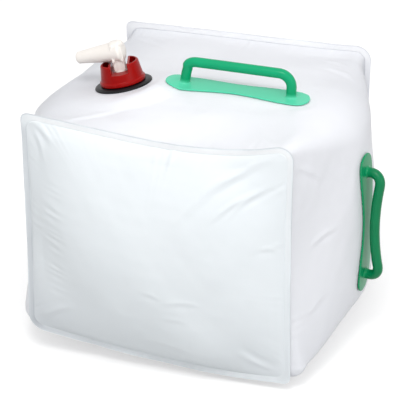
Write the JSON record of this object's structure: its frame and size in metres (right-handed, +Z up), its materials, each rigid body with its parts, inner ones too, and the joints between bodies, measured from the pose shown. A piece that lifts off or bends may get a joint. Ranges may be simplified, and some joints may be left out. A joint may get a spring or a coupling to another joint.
{
  "type": "collapsible water carrier",
  "caption": "Filled cube-shaped water carrier of welded clear film, with a moulded carry handle on top and on one side and a screw cap with a swivelling tap.",
  "frame": {"origin": "on the floor, under the middle of the filled bag", "axes": "+Z up, -Y towards the front panel, +X towards the wall with the side handle"},
  "size_m": [0.367, 0.3538, 0.2927],
  "materials": {
    "film": "milky translucent film",
    "top_handle_green": "soft satin",
    "side_handle_green": "soft satin",
    "neck_black": "satin",
    "gasket": "matte foam",
    "cap_red": "satin",
    "spout_ivory": "satin",
    "seal": "matte"
  },
  "bodies": {
    "bag": {"wrap_band": "film", "front_panel": "film", "rear_panel": "film", "top_handle": "top_handle_green", "side_handle": "side_handle_green", "neck_fitting": "neck_black"},
    "gasket": {"cap_gasket": "gasket"},
    "cap": {"screw_cap": "cap_red"},
    "tap": {"spout": "spout_ivory", "spout_o_ring": "seal"}
  },
  "joints": [
    {"name": "cap_turn", "type": "hinge", "parent": "gasket", "child": "cap", "pos_m": [-0.074, -0.025, 0.24725], "axis": [-0.1994, 0, 0.9799], "range_deg": [0, 450]},
    {"name": "cap_lift", "type": "slide", "parent": "bag", "child": "gasket", "axis": [-0.1994, 0, 0.9799], "range_m": [0, 0.00625]},
    {"name": "spout_swivel", "type": "hinge", "parent": "cap", "child": "tap", "pos_m": [-0.074, -0.025, 0.24725], "axis": [-0.1994, 0, 0.9799], "range_deg": [0, 90]}
  ],
  "couplings": [
    {"joint": "cap_turn", "follows": "cap_lift", "rad_per_m": 1256.6}
  ]
}
